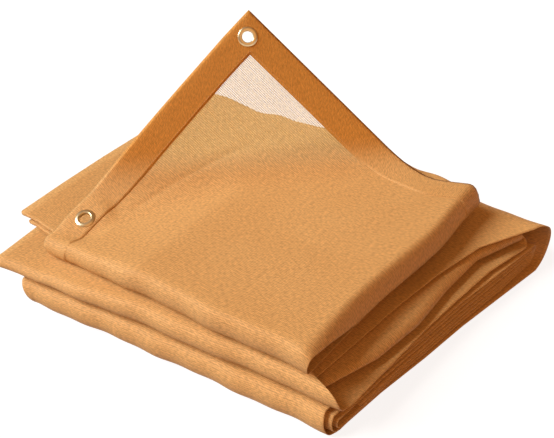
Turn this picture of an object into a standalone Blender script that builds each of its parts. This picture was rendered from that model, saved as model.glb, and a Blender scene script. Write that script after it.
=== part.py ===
"""A knitted shade cloth, folded to a packet, with one hemmed corner of its top layer turned up.

The cloth is one continuous sheet. It winds into a flat roll at the bottom, wraps up the back, folds back and
forth through the middle and upper packets and ends as the single top layer, whose back left corner is raised.
Sizes below are in millimetres, X along the folds, Y from the front folds to the back, Z up.
"""
import math

import bpy
import bmesh
from mathutils import Matrix, Vector

MM = 0.001
NAME = "shade_cloth"

# The middle of the packet's bounding box, which becomes the origin
CENTRE = Vector((2.5, -8.35, 0.0))

# The net and its layers
CLOTH = 1.6
PITCH = 4.4
TOP_LEVEL = 18
TOP_HEIGHT = 83.8

# The left end lies lower than the rest of the packet
PRESS_FROM = -40.0
PRESS_OVER = 110.0
PRESSED = ((0.0, 0.0), (31.0, 27.5), (50.0, 39.0), (58.0, 43.5), (76.0, 58.5), (84.0, 63.5))

# The hem of the top layer and its eyelets
HEM_THICK = 3.0
HEM_WIDTH = 31.0
HEM_GAP = 0.8
SHEET_CORNER = (-149.0, 141.0)
LEFT_BOW = 12.0
LEFT_BOW_OVER = 306.0
BACK_EDGE_SLOPE = -16.0 / 219.0
BACK_FLARE = 20.0
BACK_FLARE_FROM = 105.0
BACK_FLARE_OVER = 50.0
HOLE_RADIUS = 5.5
BARREL_RADIUS = 6.3
FLANGE_RADIUS = 10.0
FLANGE_THICK = 0.9
EYELET_EDGE = 0.3
EYELET_GAP = 0.32
HEM_END = 157.0
CORNER_INSET = (17.3, 21.0)
SIDE_INSET = 17.5
SIDE_EYELET_Y = -122.0
SEAT_FLAT = 17.8
SEAT_BLEND = 34.0
SIDE_TILT = math.radians(7.0)
SIDE_LIFT = 2.2
TANGENT_STEP = 0.5

# The raised corner turns about a slanting line across the top layer
BEND_POINT = (-164.0, -93.0)
BEND_DIRECTION = Vector((234.0, 218.0)).normalized()
BEND_ANGLE = math.radians(60.0)
BEND_RADIUS_LEFT = 75.0
BEND_RADIUS_RIGHT = 42.0
BEND_EASES_OVER = 160.0

# Where the folds turn: y of each line at the three places in x that LINE_X names
LINE_X = (-200.0, -20.0, 160.0)
TURN_LINES = {
    "roll_front": (-186.0, -164.0, -146.0),
    "roll_back": (139.0, 143.0, 147.0),
    "middle_front": (-181.0, -161.0, -140.0),
    "middle_back": (136.0, 138.0, 139.0),
    "upper_back": (133.0, 135.0, 134.0),
    "inner_front": (-139.0, -148.0, -142.0),
    "top_front": (-149.0, -153.0, -141.0),
}

# The folds along the sheet, from its free end inside the roll: turn line, level left, level reached, depth
FOLDS = (
    ("roll_back", 3, 4, 2.4),
    ("roll_front", 4, 2, 4.0),
    ("roll_back", 2, 5, 7.0),
    ("roll_front", 5, 1, 8.0),
    ("roll_back", 1, 6, 11.0),
    ("roll_front", 6, 0, 12.0),
    ("roll_back", 0, 11, 28.0),
    ("middle_front", 11, 8, 8.0),
    ("middle_back", 8, 9, 2.4),
    ("middle_front", 9, 10, 2.4),
    ("middle_back", 10, 7, 7.0),
    ("middle_front", 7, 12, 12.0),
    ("upper_back", 12, 17, 10.0),
    ("inner_front", 17, 16, 2.4),
    ("upper_back", 16, 15, 2.2),
    ("inner_front", 15, 14, 2.4),
    ("upper_back", 14, 13, 2.2),
    ("top_front", 13, 18, 11.0),
)
FREE_END = -120.0

# Left ends of the layers in x: level, at the front and at the back
LEFT_ENDS = (
    (0, -152.0, -172.0),
    (3, -172.0, -190.0),
    (6, -174.0, -195.0),
    (7, -201.0, -224.0),
    (12, -201.0, -224.0),
    (14, -218.0, -172.0),
    (17, -219.0, -224.0),
)
LEFT_EASE = 2.5
ENDS_FRONT_Y = -155.0
ENDS_BACK_Y = 155.0

# Right ends of the layers in x: level, then one value for each y in RIGHT_Y
RIGHT_Y = (-155.0, -110.0, -50.0, 45.0, 100.0, 141.0)
RIGHT_ENDS = (
    (0, 167.0, 172.0, 184.0, 200.0, 212.0, 222.0),
    (1, 165.0, 171.0, 183.0, 198.0, 208.0, 214.0),
    (6, 164.0, 170.0, 181.0, 194.0, 205.0, 214.0),
    (7, 172.0, 177.0, 181.0, 191.0, 199.0, 211.0),
    (8, 144.0, 153.0, 162.0, 162.0, 169.0, 186.0),
    (9, 144.0, 153.0, 162.0, 162.0, 169.0, 186.0),
    (10, 158.0, 168.0, 178.0, 178.0, 185.0, 205.0),
    (11, 142.0, 148.0, 153.0, 168.0, 184.0, 229.0),
    (12, 139.0, 139.0, 140.0, 141.0, 141.0, 139.0),
    (13, 141.0, 142.0, 143.0, 145.0, 145.0, 142.0),
    (14, 134.0, 134.0, 135.0, 138.0, 139.0, 139.0),
    (17, 134.0, 134.0, 135.0, 138.0, 139.0, 139.0),
    (18, 142.0, 145.0, 147.0, 156.0, 158.0, 157.0),
)

# Right ends that droop over the ends of the layers below: level, how far down, over how much of its width
DROOPS = {10: (6.0, 9.0), 18: (19.0, 12.0)}

# Cells of the grid: all layers share the lines in x between the first and the last, and only their ends differ
GRID_FROM = -150.0
GRID_TO = 126.0
GRID_CELLS = 10
RIGHT_CELLS = 4
HEM_CELLS = 3
RUN_CELLS = 3
TOP_ROWS = 21
HEM_ACROSS = (0.0, 0.18, 0.5, 0.82, 1.0)
HEM_ROWS = 32
HEM_STUB = 14.0
EYELET_STEPS = 24
MERGE_DISTANCE = 0.00001

# Cells round a fold for the levels it spans, and round any taller fold
FOLD_CELLS = {1: 4, 2: 4, 3: 6, 4: 6}
TALL_FOLD_CELLS = 8

COLOURS = {
    "net": (0.62, 0.33, 0.11, 1.0),
    "brass": (0.72, 0.55, 0.25, 1.0),
}


def smooth(t):
    """An eased step from 0 to 1."""
    t = min(max(t, 0.0), 1.0)
    return t * t * (3.0 - 2.0 * t)


def mix(a, b, t):
    """The value a share t of the way from a to b."""
    return a + (b - a) * t


def turn_line(name, x):
    """y of a turn line at x, as a curve through its three values."""
    left, middle, right = TURN_LINES[name]
    share = (x - LINE_X[0]) / (LINE_X[2] - LINE_X[0])
    return mix(left, right, share) + (4.0 * middle - 2.0 * (left + right)) * share * (1.0 - share)


def left_edge(y):
    """x of the sheet's hemmed left edge, before the corner is raised."""
    share = (SHEET_CORNER[1] - y) / LEFT_BOW_OVER
    return SHEET_CORNER[0] - LEFT_BOW * share * (2.0 - share)


def back_edge(x):
    """y of the sheet's hemmed back edge, before the corner is raised."""
    flare = BACK_FLARE * smooth((x - BACK_FLARE_FROM) / BACK_FLARE_OVER)
    return SHEET_CORNER[1] + BACK_EDGE_SLOPE * (x - SHEET_CORNER[0]) + flare


def curve(stations, values, at):
    """A smooth curve through a value at each of the rising stations."""
    at = min(max(at, stations[0]), stations[-1])
    last = len(stations) - 1
    k = max(i for i in range(last) if stations[i] <= at)
    span = stations[k + 1] - stations[k]
    slopes = []
    for i in (k, k + 1):
        before, after = max(i - 1, 0), min(i + 1, last)
        slopes.append((values[after] - values[before]) / (stations[after] - stations[before]))
    t = (at - stations[k]) / span
    ease = t * t * (3.0 - 2.0 * t)
    bend = (t ** 3 - 2.0 * t * t + t) * slopes[0] + (t ** 3 - t * t) * slopes[1]
    return mix(values[k], values[k + 1], ease) + span * bend


def between(table, level):
    """The values for a level, between those of the two nearest levels in a table."""
    for low, high in zip(table, table[1:]):
        if level <= high[0]:
            break
    t = (level - low[0]) / (high[0] - low[0])
    return [mix(a, b, t) for a, b in zip(low[1:], high[1:])]


def right_end(level, y):
    """x of a layer's right end at y."""
    return curve(RIGHT_Y, between(RIGHT_ENDS, level), y)


def layer_ends(level, y):
    """The left and right ends in x of a layer at y."""
    if level in (TOP_LEVEL, FOLDS[-1][1]):
        left = left_edge(y) + HEM_WIDTH + HEM_GAP
    else:
        front, back = between(LEFT_ENDS, level)
        share = min(max((y - ENDS_FRONT_Y) / (ENDS_BACK_Y - ENDS_FRONT_Y), 0.0), 1.0)
        left = mix(front, back, smooth(LEFT_EASE * share))
    return left, right_end(level, y)


def height(level, x, y=0.0):
    """Height of a layer's middle surface, which lies lower at the left end."""
    rise = TOP_HEIGHT - CLOTH / 2 if level == TOP_LEVEL else PITCH * level
    share = min(max((PRESS_FROM - x) / PRESS_OVER, 0.0), 1.0)
    z = CLOTH / 2 + mix(rise, between(PRESSED, rise)[0], share)
    if level in DROOPS:
        drop, over = DROOPS[level]
        z -= drop * min(max((x - right_end(level, y)) / over + 1.0, 0.0), 1.0) ** 2
    return z


def raised(x, y):
    """A point of the top layer, with its corner turned up about the bend, which is wider at its left end."""
    flat = Vector((x, y))
    across = Vector((-BEND_DIRECTION.y, BEND_DIRECTION.x))
    offset = flat - Vector(BEND_POINT)
    ease = smooth(offset.dot(BEND_DIRECTION) / BEND_EASES_OVER)
    radius = mix(BEND_RADIUS_LEFT, BEND_RADIUS_RIGHT, ease)
    past = offset.dot(across) + radius * math.tan(BEND_ANGLE / 2)
    low = TOP_HEIGHT - height(TOP_LEVEL, min(flat.x - across.x * past, 0.0))
    past += low / math.tan(BEND_ANGLE)
    if past <= 0.0:
        return Vector((x, y, height(TOP_LEVEL, x, y)))
    foot = flat - across * past
    angle = min(past / radius, BEND_ANGLE)
    straight = max(past - radius * BEND_ANGLE, 0.0)
    level = foot + across * (radius * math.sin(angle) + straight * math.cos(angle))
    lift = radius * (1.0 - math.cos(angle)) + straight * math.sin(angle)
    return Vector((level.x, level.y, height(TOP_LEVEL, foot.x, foot.y) + lift))


def eyelet_places():
    """Places of the two eyelets on the flat top layer."""
    from_left, from_back = CORNER_INSET
    corner_y = back_edge(SHEET_CORNER[0]) - from_back
    return {
        "eyelet_corner": Vector((left_edge(corner_y) + from_left, corner_y)),
        "eyelet_side": Vector((left_edge(SIDE_EYELET_Y) + SIDE_INSET, SIDE_EYELET_Y)),
    }


def tangent(name, place):
    """The point under an eyelet and the two directions of the cloth there, turned up a little at the side one."""
    step = TANGENT_STEP
    centre = raised(place.x, place.y)
    along_x = (raised(place.x + step, place.y) - raised(place.x - step, place.y)) / (2 * step)
    along_y = (raised(place.x, place.y + step) - raised(place.x, place.y - step)) / (2 * step)
    if name == "eyelet_side":
        tilt = Matrix.Rotation(SIDE_TILT, 3, BEND_DIRECTION.to_3d())
        return centre + Vector((0.0, 0.0, SIDE_LIFT)), tilt @ along_x, tilt @ along_y
    return centre, along_x, along_y


def top_point(x, y):
    """A point of the top layer, flat where an eyelet is clamped."""
    point = raised(x, y)
    for name, place in eyelet_places().items():
        offset = Vector((x, y)) - place
        if offset.length < SEAT_BLEND:
            centre, along_x, along_y = tangent(name, place)
            seat = centre + along_x * offset.x + along_y * offset.y
            hold = 1.0 - smooth((offset.length - SEAT_FLAT) / (SEAT_BLEND - SEAT_FLAT))
            point = point.lerp(seat, hold)
    return point


def grid_x(level, y, station):
    """x of a grid line at y: station 0 is the layer's left end and the last station its right end."""
    left, right = layer_ends(level, y)
    cell = (GRID_TO - GRID_FROM) / GRID_CELLS
    if station > GRID_CELLS + 1:
        return mix(GRID_TO, right, (station - GRID_CELLS - 1) / RIGHT_CELLS)
    if left > GRID_FROM and station < HEM_CELLS + 1:
        return mix(left, GRID_FROM + HEM_CELLS * cell, station / (HEM_CELLS + 1))
    if station < 1:
        return mix(left, GRID_FROM, station)
    return GRID_FROM + (station - 1) * cell


def layer_point(level, station, y):
    """A point on a flat run of the sheet."""
    x = grid_x(level, y, station)
    if level == TOP_LEVEL:
        return top_point(x, y)
    return Vector((x, y, height(level, x, y)))


def turn_point(line, level, station):
    """Where a layer meets the turn line of a fold: x and y."""
    x = grid_x(level, TURN_LINES[line][1], station)
    return x, turn_line(line, x)


def fold_point(fold, station, turn):
    """A point on a fold, with turn from 0 on the level it leaves to 1 on the level it reaches."""
    line, start, end, depth = fold
    outward = -1.0 if line.endswith("front") else 1.0
    share = (1.0 - math.cos(math.pi * turn)) / 2
    x_start, y_start = turn_point(line, start, station)
    x_end, y_end = turn_point(line, end, station)
    x = mix(x_start, x_end, turn)
    y = mix(y_start, y_end, turn) + outward * depth * math.sin(math.pi * turn)
    return Vector((x, y, mix(height(start, x, y), height(end, x, y), share)))


def shares(count, ends=True):
    """Even steps from 0 to 1, with or without the two ends."""
    first, last = (0, count + 1) if ends else (1, count)
    return [k / count for k in range(first, last)]


def stations(refine):
    """The grid's lines in x, counted from the left end, with refine cells for each one."""
    count = 1 + GRID_CELLS + RIGHT_CELLS
    return [k / refine for k in range(count * refine + 1)]


def fold_cells(fold):
    """Number of cells round a fold."""
    return FOLD_CELLS.get(abs(fold[2] - fold[1]), TALL_FOLD_CELLS)


def sheet_rows():
    """Rows of points along the whole sheet, from its free end in the roll to the top layer's hem."""
    coarse = stations(1)
    rows = []
    begin = [FREE_END] * len(coarse)
    for fold in FOLDS:
        line, start, end, _ = fold
        turn = [turn_point(line, start, k)[1] for k in coarse]
        for t in shares(RUN_CELLS)[(0 if not rows else 1):]:
            rows.append([layer_point(start, k, mix(a, b, t)) for k, a, b in zip(coarse, begin, turn)])
        for t in shares(fold_cells(fold), ends=False):
            rows.append([fold_point(fold, k, t) for k in coarse])
        begin = [turn_point(line, end, k)[1] for k in coarse]
        if end != TOP_LEVEL:
            rows.append([layer_point(end, k, y) for k, y in zip(coarse, begin)])
    for t in shares(TOP_ROWS):
        row = []
        for k in stations(2):
            x, front = turn_point("top_front", TOP_LEVEL, k)
            x = mix(x, grid_x(TOP_LEVEL, SHEET_CORNER[1], k), t)
            row.append(layer_point(TOP_LEVEL, k, mix(front, back_edge(x) - HEM_WIDTH - HEM_GAP, t)))
        rows.append(row)
    return rows


def loft(name, rows):
    """An open surface through rows of points, where a row may have twice the points of the row before."""
    mesh = bpy.data.meshes.new(name)
    bm = bmesh.new()
    grid = [[bm.verts.new((point - CENTRE) * MM) for point in row] for row in rows]
    for low, high in zip(grid, grid[1:]):
        for i in range(len(low) - 1):
            if len(low) == len(high):
                bm.faces.new((low[i], low[i + 1], high[i + 1], high[i]))
            else:
                bm.faces.new((low[i], high[2 * i + 1], high[2 * i]))
                bm.faces.new((low[i], low[i + 1], high[2 * i + 1]))
                bm.faces.new((low[i + 1], high[2 * i + 2], high[2 * i + 1]))
    bm.to_mesh(mesh)
    bm.free()
    return mesh


def hem_rows():
    """Rows across the doubled hem: up the left edge from under the front fold, round the corner, along the back."""
    fold = FOLDS[-1]
    rows = []

    def left_x(y, w):
        return left_edge(y) + HEM_WIDTH * w

    def left_point(level, y, w):
        x = left_x(y, w)
        return top_point(x, y) if level == TOP_LEVEL else Vector((x, y, height(level, x)))

    front = turn_line(fold[0], left_edge(ENDS_FRONT_Y))
    for y in (front + HEM_STUB, front):
        rows.append([left_point(fold[1], y, w) for w in HEM_ACROSS])
    for t in shares(fold_cells(fold), ends=False):
        share = (1.0 - math.cos(math.pi * t)) / 2
        row = []
        for w in HEM_ACROSS:
            point = left_point(fold[1], front, w).lerp(left_point(fold[2], front, w), share)
            point.y = front - fold[3] * math.sin(math.pi * t)
            row.append(point)
        rows.append(row)
    for k in range(HEM_ROWS):
        row = []
        for w in HEM_ACROSS:
            corner_x = SHEET_CORNER[0] + HEM_WIDTH * w
            corner_y = back_edge(corner_x) - HEM_WIDTH * w
            y = mix(front, corner_y, k / HEM_ROWS)
            row.append(top_point(left_x(y, w), y))
        rows.append(row)
    for k in range(HEM_ROWS + 1):
        row = []
        for w in HEM_ACROSS:
            corner_y = SHEET_CORNER[1] - HEM_WIDTH * w
            x = mix(left_x(corner_y, w), HEM_END, k / HEM_ROWS)
            row.append(top_point(x, back_edge(x) - HEM_WIDTH * w))
        rows.append(row)
    return rows


def material(name, colour, rough, metal):
    """A plain finish."""
    finish = bpy.data.materials.new(name)
    finish.use_nodes = True
    shader = finish.node_tree.nodes["Principled BSDF"]
    shader.inputs["Base Color"].default_value = COLOURS[colour]
    shader.inputs["Roughness"].default_value = rough
    shader.inputs["Metallic"].default_value = metal
    return finish


def add(mesh, name, group, finish=None):
    """A new object for a mesh, in a collection."""
    thing = bpy.data.objects.new(name, mesh)
    group.objects.link(thing)
    if finish:
        mesh.materials.append(finish)
    return thing


def thicken(thing, thickness, even):
    """Gives an open surface its thickness, half to each side."""
    wall = thing.modifiers.new("thickness", "SOLIDIFY")
    wall.thickness = thickness * MM
    wall.offset = 0.0
    wall.use_even_offset = even


def eyelet_frame(name, place):
    """Placement of an eyelet: its axis along the cloth's normal."""
    centre, along_x, along_y = tangent(name, place)
    normal = along_x.cross(along_y).normalized()
    side = along_x.normalized()
    turn = Matrix((side, normal.cross(side), normal)).transposed().to_4x4()
    return Matrix.Translation((centre - CENTRE) * MM) @ turn


def eyelet_mesh(name):
    """A turned ring that clamps the hem between two flanges."""
    inside = HEM_THICK / 2 + EYELET_GAP
    outside = inside + FLANGE_THICK
    edge = EYELET_EDGE
    profile = (
        (BARREL_RADIUS, -inside),
        (FLANGE_RADIUS, -inside),
        (FLANGE_RADIUS, -outside + edge),
        (FLANGE_RADIUS - 2 * edge, -outside),
        (HOLE_RADIUS + edge, -outside),
        (HOLE_RADIUS, -outside + edge),
        (HOLE_RADIUS, outside - edge),
        (HOLE_RADIUS + edge, outside),
        (FLANGE_RADIUS - 2 * edge, outside),
        (FLANGE_RADIUS, outside - edge),
        (FLANGE_RADIUS, inside),
        (BARREL_RADIUS, inside),
    )
    mesh = bpy.data.meshes.new(name)
    points = [(radius * MM, 0.0, z * MM) for radius, z in profile]
    mesh.from_pydata(points, [(i, (i + 1) % len(points)) for i in range(len(points))], [])
    return mesh


def turned(thing):
    """Turns a profile about its Z axis."""
    spin = thing.modifiers.new("turned", "SCREW")
    spin.steps = EYELET_STEPS
    spin.render_steps = EYELET_STEPS
    spin.use_merge_vertices = True
    spin.merge_threshold = MERGE_DISTANCE


def hole_cutter(name, frame, group):
    """A short cylinder through the hem, a little wider than the eyelet's barrel."""
    bpy.ops.mesh.primitive_cylinder_add(
        vertices=EYELET_STEPS,
        radius=(BARREL_RADIUS + EYELET_GAP) * MM,
        depth=4 * HEM_THICK * MM,
    )
    cutter = bpy.context.object
    cutter.name = name
    for owner in list(cutter.users_collection):
        owner.objects.unlink(cutter)
    group.objects.link(cutter)
    cutter.matrix_world = frame
    cutter.display_type = "WIRE"
    cutter.hide_render = True
    return cutter


def collection(name):
    """A new collection in the scene."""
    group = bpy.data.collections.new(name)
    bpy.context.scene.collection.children.link(group)
    return group


def main():
    """Builds the folded cloth, its hem and the two eyelets."""
    for thing in list(bpy.data.objects):
        bpy.data.objects.remove(thing, do_unlink=True)
    parts = collection(NAME)
    cutters = collection("cutters")
    net = material("knitted_polyethylene", "net", 0.75, 0.0)
    brass = material("brass", "brass", 0.3, 1.0)

    cloth = add(loft("folded_cloth", sheet_rows()), "folded_cloth", parts, net)
    thicken(cloth, CLOTH, False)
    hem = add(loft("corner_hem", hem_rows()), "corner_hem", parts, net)
    thicken(hem, HEM_THICK, True)
    for name, place in eyelet_places().items():
        frame = eyelet_frame(name, place)
        ring = add(eyelet_mesh(name), name, parts, brass)
        ring.matrix_world = frame
        turned(ring)
        cut = hem.modifiers.new("hole_" + name, "BOOLEAN")
        cut.object = hole_cutter("hole_" + name, frame, cutters)
        cut.operation = "DIFFERENCE"
        cut.solver = "EXACT"


main()
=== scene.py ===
"""A folded knitted shade cloth with one hemmed corner turned up, on a pale floor.

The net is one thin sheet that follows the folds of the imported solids. Its hem is the same net folded double,
sewn down along its inner edge and clamped by two brass eyelets. Sizes in the tables are in millimetres.
"""
import math

import bmesh
import bpy
from bpy.props import FloatProperty, FloatVectorProperty, IntProperty, PointerProperty
from mathutils import Matrix, Vector


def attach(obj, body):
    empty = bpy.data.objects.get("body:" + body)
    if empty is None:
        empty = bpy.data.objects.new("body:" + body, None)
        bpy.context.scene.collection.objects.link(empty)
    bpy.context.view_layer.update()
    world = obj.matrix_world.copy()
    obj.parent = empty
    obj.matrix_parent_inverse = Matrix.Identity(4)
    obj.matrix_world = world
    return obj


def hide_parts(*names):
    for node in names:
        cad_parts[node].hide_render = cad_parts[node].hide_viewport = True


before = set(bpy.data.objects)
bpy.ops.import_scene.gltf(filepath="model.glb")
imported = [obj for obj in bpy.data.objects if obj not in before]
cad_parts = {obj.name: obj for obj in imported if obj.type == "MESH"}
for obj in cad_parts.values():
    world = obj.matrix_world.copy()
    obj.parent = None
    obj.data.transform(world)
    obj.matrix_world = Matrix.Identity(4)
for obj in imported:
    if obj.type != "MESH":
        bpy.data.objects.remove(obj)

bl_info = {
    "name": "Folded shade cloth",
    "version": (1, 0, 0),
    "blender": (4, 5, 0),
    "location": "View3D > Sidebar > Shade cloth",
    "description": "Builds a folded, knitted shade cloth with a raised, hemmed corner and two eyelets",
    "category": "Object",
}

MM = 0.001

# The middle of the packet's bounding box, where the frame has its origin
CENTRE = Vector((2.5, -8.35, 0.0))

# The layers: thickness of the solids' cloth, rise from one level to the next, and the top layer's height
SOLID_CLOTH = 1.6
PITCH = 4.4
TOP_LEVEL = 18
TOP_HEIGHT = 83.8

# The left end is pressed flatter, from this x and over this width: height in the middle, height at the left
PRESS_FROM = -40.0
PRESS_OVER = 110.0
PRESSED = ((0.0, 0.0), (31.0, 27.5), (50.0, 39.0), (58.0, 43.5), (76.0, 58.5), (84.0, 63.5))

# The hem: its width, how far it laps over the single net, how much thinner it is at its seam, and how many of
# its cells its outer edge is rounded over
HEM_WIDTH = 31.0
HEM_LAP = 3.0
SEWN_DOWN = 0.4
HEM_ROUND = 3

# How far the hem runs on below the top fold at the front, and x of its end at the back
HEM_STUB = 14.0
HEM_END = 154.5

# The outline of the top layer before its corner is raised
SHEET_CORNER = (-149.0, 141.0)
LEFT_BOW = 12.0
LEFT_BOW_OVER = 306.0
BACK_EDGE_SLOPE = -16.0 / 219.0
BACK_FLARE = 20.0
BACK_FLARE_FROM = 105.0
BACK_FLARE_OVER = 50.0

# The eyelets' places from the hem's outer edges, and the flat seats in the cloth round them
CORNER_INSET = (17.3, 21.0)
SIDE_INSET = 17.5
SIDE_EYELET_Y = -122.0
SEAT_FLAT = 17.8
SEAT_BLEND = 34.0

# The side eyelet's seat is tilted and raised a little, because the hem stands off the packet there
SIDE_TILT = math.radians(7.0)
SIDE_LIFT = 2.2

# Distance over which the slope of the cloth is measured
PROBE = 0.5

# The raised corner turns about a slanting line across the top layer
BEND_POINT = (-164.0, -93.0)
BEND_DIRECTION = Vector((234.0, 218.0)).normalized()
BEND_ANGLE = math.radians(60.0)
BEND_RADIUS_LEFT = 75.0
BEND_RADIUS_RIGHT = 42.0
BEND_EASES_OVER = 160.0

# Soft creases of the top layer: height (a trough below 0), half width, points along each on the flat sheet
CREASES = (
    (
        -0.9, 2.6,
        ((-112.0, -84.0), (-101.0, -42.0), (-92.0, -18.0), (-78.0, 12.0), (-66.0, 36.0), (-53.0, 58.0)),
    ),
    (-0.3, 5.0, ((-53.0, 58.0), (-25.0, 34.0), (20.0, 18.0))),
    (0.8, 16.0, ((-60.0, -150.0), (10.0, -120.0), (70.0, -60.0))),
    (0.9, 14.0, ((60.0, -20.0), (100.0, 60.0), (120.0, 120.0))),
)

# The doubled hem carries its openness with a minus sign: its holes stay shut, and it gets a painted shade, a
# deeper tone, where it hangs free
HEM_SIGN = -1.0

# The knit opens, and its painted glow and the hem's painted shade come in, between this height and this much
# above it
OPEN_FROM = 86.0
OPEN_OVER = 30.0

# Where the folds turn: y of each line at the three places in x that LINE_X names
LINE_X = (-200.0, -20.0, 160.0)
TURN_LINES = {
    "roll_front": (-186.0, -164.0, -146.0),
    "roll_back": (139.0, 143.0, 147.0),
    "middle_front": (-181.0, -161.0, -140.0),
    "middle_back": (136.0, 138.0, 139.0),
    "upper_back": (159.0, 146.0, 131.0),
    "inner_front": (-139.0, -148.0, -142.0),
    "top_front": (-149.0, -153.0, -141.0),
}

# How the turn lines wander along x: waves with their height, length and start
WANDER = {
    "roll": ((0.8, 96.0, 10.0), (0.5, 41.0, 0.0)),
    "middle": ((0.9, 120.0, 60.0), (0.5, 52.0, 15.0)),
    "upper": ((1.7, 74.0, 20.0), (0.9, 43.0, 5.0)),
    "inner": ((1.2, 110.0, 20.0), (0.9, 43.0, 5.0)),
    "top": ((0.9, 105.0, -30.0), (0.6, 47.0, 8.0)),
}

# The folds along the sheet, from its free end inside the roll: turn line, level left, level reached, depth,
# and how late the right end of the fold goes over from the one layer's end to the other's
FOLDS = (
    ("roll_back", 3, 4, 2.4, 1.0),
    ("roll_front", 4, 2, 4.0, 1.0),
    ("roll_back", 2, 5, 7.0, 1.0),
    ("roll_front", 5, 1, 8.0, 1.0),
    ("roll_back", 1, 6, 11.0, 1.0),
    ("roll_front", 6, 0, 12.0, 1.0),
    ("roll_back", 0, 11, 28.0, 6.0),
    ("middle_front", 11, 8, 8.0, 1.0),
    ("middle_back", 8, 9, 2.4, 1.0),
    ("middle_front", 9, 10, 2.4, 1.0),
    ("middle_back", 10, 7, 7.0, 1.0),
    ("middle_front", 7, 12, 12.0, 4.5),
    ("upper_back", 12, 17, 10.0, 1.0),
    ("inner_front", 17, 16, 2.4, 1.0),
    ("upper_back", 16, 15, 2.2, 1.0),
    ("inner_front", 15, 14, 2.4, 1.0),
    ("upper_back", 14, 13, 2.2, 1.0),
    ("top_front", 13, 18, 11.0, 1.0),
)
FREE_END = -120.0

# How full the folds are: below 1 they bulge more evenly over their height, with sharper creases between them
FULLNESS = 0.7

# Left ends of the layers in x: level, at the front and at the back, and how soon they reach the back's value
LEFT_ENDS = (
    (0, -152.0, -172.0),
    (3, -172.0, -190.0),
    (6, -174.0, -195.0),
    (7, -201.0, -227.0),
    (12, -201.0, -227.0),
    (14, -206.0, -172.0),
    (17, -219.0, -224.0),
)
LEFT_EASE = 2.5
ENDS_FRONT_Y = -155.0
ENDS_BACK_Y = 155.0

# Right ends of the layers in x: level, then one value for each y in RIGHT_Y
RIGHT_Y = (-155.0, -110.0, -50.0, 45.0, 100.0, 141.0)
RIGHT_ENDS = (
    (0, 167.0, 172.0, 184.0, 200.0, 212.0, 222.0),
    (1, 170.0, 173.0, 183.0, 198.0, 208.0, 214.0),
    (3, 173.0, 175.0, 183.0, 197.0, 207.0, 214.0),
    (5, 166.0, 171.0, 181.0, 195.0, 205.0, 214.0),
    (6, 159.0, 168.0, 181.0, 194.0, 205.0, 214.0),
    (7, 174.0, 178.0, 181.0, 191.0, 199.0, 211.0),
    (8, 144.0, 153.0, 162.0, 162.0, 169.0, 186.0),
    (9, 144.0, 153.0, 162.0, 162.0, 169.0, 186.0),
    (10, 148.0, 163.0, 177.0, 178.0, 185.0, 204.0),
    (11, 142.0, 148.0, 153.0, 168.0, 183.0, 211.0),
    (12, 139.0, 139.0, 140.0, 141.0, 141.0, 139.0),
    (13, 141.0, 142.0, 143.0, 145.0, 145.0, 142.0),
    (14, 134.0, 134.0, 135.0, 138.0, 139.0, 139.0),
    (17, 134.0, 134.0, 135.0, 138.0, 139.0, 139.0),
    (18, 144.0, 145.0, 147.0, 156.0, 154.5, 154.5),
)

# Right ends that droop over the ends of the layers below: level, how far down, over how much of its width,
# and the power of the curve that they droop in
DROOPS = {10: (6.0, 9.0), 18: (19.0, 15.0)}
DROOP_ROUND = 2.6

# Towards the front the droop fades to this share, between these two values of y
DROOP_FRONT = 0.3
DROOP_FADES = (-152.0, -70.0)

# All layers share the lines in x between the first and the last, and only their ends differ: the cells between
# these lines, to the right of the last one, and those of them that the hem covers
GRID_FROM = -150.0
GRID_TO = 126.0
GRID_CELLS = 10
RIGHT_CELLS = 4
HEM_CELLS = 3

# The grain of the tape along the ribs: length and width of a speck, the part of the noise that shows, and the
# tones that it runs between
GRAIN_LENGTH = 3.846
GRAIN_WIDTH = 1.613
GRAIN_SHOWS = (0.3, 0.7)
GRAIN_TONES = (0.78, 1.12)

# The painted shade in the hollows between the ribs: how far up a rib it reaches, and its tone against the
# rib's
HOLLOW_REACH = 0.3
HOLLOW_SHADE_TONE = 0.75

# Width of the clouds of lighter and deeper tape
CLOUD_WIDTH = 71.4

# The brass: width of a worn spot, and the roughness from the smoothest spot to the roughest
WEAR_WIDTH = 3.85
BRASS_ROUGHNESS = (0.34, 0.5)

# Half the width of the soft edge that a hole in the knit has, as a share of the wave between two ribs
HOLE_EDGE = 0.1

# How far the ribs stand out, and how strongly that shows
RELIEF_DEPTH = 0.4
RELIEF_STRENGTH = 0.4

# The colour sockets of a Mix node, which share their names with its number sockets
MIX_FIRST = 6
MIX_SECOND = 7
MIX_RESULT = 2

# The eyelet's ring: radius of its rolled lip, its wall round the hole, and the faces along its lip and flange
RING_LIP = 1.3
RING_WALL = 0.6
LIP_STEPS = 8
FLANGE_STEPS = 6

# Heights above the hem's middle of the ring's waist in the hole, its outer edge and its underside
RING_WAIST = 0.2
RING_EDGE = 1.2
RING_UNDER = 0.8

# The hole that is cut through the hem for an eyelet
CUT_RADIUS = 6.4
CUT_DEPTH = 12.0
CUT_SIDES = 48

# The stitches: shares of the set length that half a stitch takes, the faces round and along it, and the seed
STITCH_HALF = (0.42, 0.52)
STITCH_SIDES = 8
STITCH_RINGS = 6
STITCH_SEED = 7

# The stage in metres: half the floor's width, and the point that the camera looks at above the floor
FLOOR_REACH = 6.0
LOOK_AT = Vector((0.0, 0.0, 0.06))

# Where the two lamps stand, and the width of the camera's sensor in millimetres
KEY_FROM = (-0.62, -0.51, 0.64)
FILL_FROM = (0.66, -0.42, 0.62)
SENSOR_WIDTH = 36.0


def linear(code):
    """An sRGB hex colour as linear red, green, blue and alpha."""
    values = [int(code[k:k + 2], 16) / 255.0 for k in (1, 3, 5)]
    return [v / 12.92 if v <= 0.04045 else ((v + 0.055) / 1.055) ** 2.4 for v in values] + [1.0]


def smooth(t):
    """An eased step from 0 to 1."""
    t = min(max(t, 0.0), 1.0)
    return t * t * (3.0 - 2.0 * t)


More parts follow.
